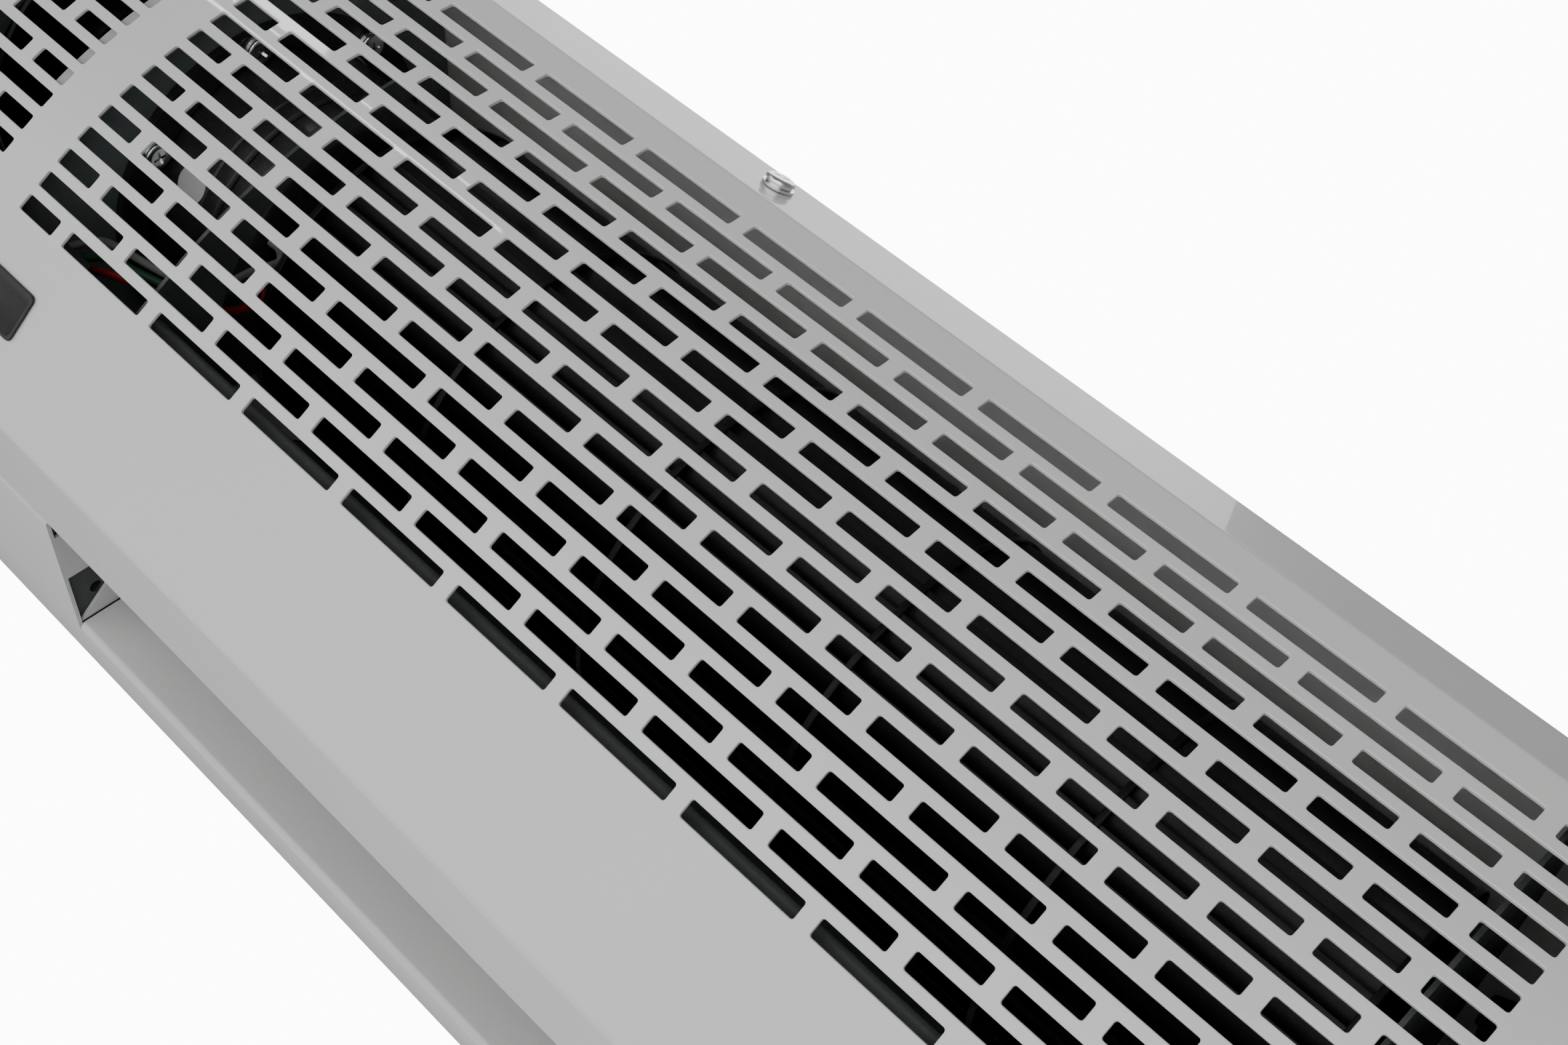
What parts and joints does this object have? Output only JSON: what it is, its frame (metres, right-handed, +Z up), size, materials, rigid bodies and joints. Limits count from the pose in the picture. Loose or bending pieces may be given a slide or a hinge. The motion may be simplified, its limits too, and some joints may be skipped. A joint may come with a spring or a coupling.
{
  "type": "air curtain",
  "caption": "Wall-hung air curtain: a long folded-steel case with a slotted grille cover over cross-flow fan wheels that blow air down through slots in its underside.",
  "frame": {"origin": "centre of the wall plate's back face, where the unit meets the wall", "axes": "+X along the unit to the right as seen from the front, +Y into the wall, +Z up; the front cover faces -Y"},
  "size_m": [0.9071, 0.1523, 0.2033],
  "materials": {
    "white_paint": "smooth white powder coat",
    "grey_paint": "dark grey-green coated sheet",
    "black_paint": "satin black enamel",
    "wheel_black": "black coated aluminium",
    "black_plastic": "fine-grained black plastic",
    "chrome": "bright plated screw heads",
    "zinc": "zinc-plated sheet and screws",
    "steel": "ground steel shaft",
    "bronze": "sintered bronze",
    "rubber": "black rubber",
    "dark_insulator": "dark insulating plastic",
    "red_lead": "insulated wire",
    "white_lead": "insulated wire",
    "green_lead": "insulated wire"
  },
  "bodies": {
    "case": {"front_cover": "white_paint", "band_stiffener": "white_paint", "rear_case": "white_paint", "end_panel_left": "white_paint", "end_panel_right": "white_paint", "inner_end_plate_left": "grey_paint", "inner_end_plate_right": "grey_paint", "outer_end_plate_left": "grey_paint", "outer_end_plate_right": "grey_paint", "motor_bulkhead": "grey_paint", "tongue_plate_left": "grey_paint", "tongue_plate_right": "grey_paint", "rear_guide_left": "grey_paint", "rear_guide_right": "grey_paint", "terminal_bracket": "grey_paint", "motor_barrel": "black_paint", "motor_shield_left": "black_paint", "motor_shield_right": "black_paint", "motor_flange": "black_paint", "badge_plate": "black_plastic", "capacitor": "black_plastic", "cable_gland": "black_plastic", "switch_housing": "black_plastic", "cover_screw_1": "chrome", "cover_screw_2": "chrome", "cover_screw_3": "chrome", "cover_screw_4": "chrome", "motor_screw_1": "chrome", "motor_screw_2": "chrome", "motor_screw_3": "chrome", "motor_screw_4": "chrome", "motor_screw_5": "chrome", "motor_screw_6": "chrome", "end_screw_left_1": "chrome", "end_screw_left_2": "chrome", "end_screw_right_1": "chrome", "end_screw_right_2": "chrome", "wall_plate": "zinc", "lock_screw_left": "zinc", "lock_screw_right": "zinc", "capacitor_screw": "zinc", "bracket_screw": "zinc", "bearing_left": "bronze", "bearing_right": "bronze", "bearing_cup_left": "rubber", "bearing_cup_right": "rubber", "terminal_block": "dark_insulator", "lead_red": "red_lead", "lead_white": "white_lead", "lead_green": "green_lead"},
    "rotor": {"motor_shaft": "steel", "drive_hub_left": "zinc", "drive_hub_right": "zinc", "wheel_left": "wheel_black", "wheel_right": "wheel_black", "stub_shaft_left": "steel", "stub_shaft_right": "steel"},
    "rocker": {"switch_rocker": "black_plastic"}
  },
  "joints": [
    {"name": "fan_spin", "type": "hinge", "parent": "case", "child": "rotor", "pos_m": [0, -0.0803, 0.025], "axis": [1, 0, 0], "continuous": true},
    {"name": "switch_rock", "type": "hinge", "parent": "case", "child": "rocker", "pos_m": [0.4475, -0.0443, -0.05], "axis": [0, 1, 0], "range_deg": [-18, 0]}
  ]
}
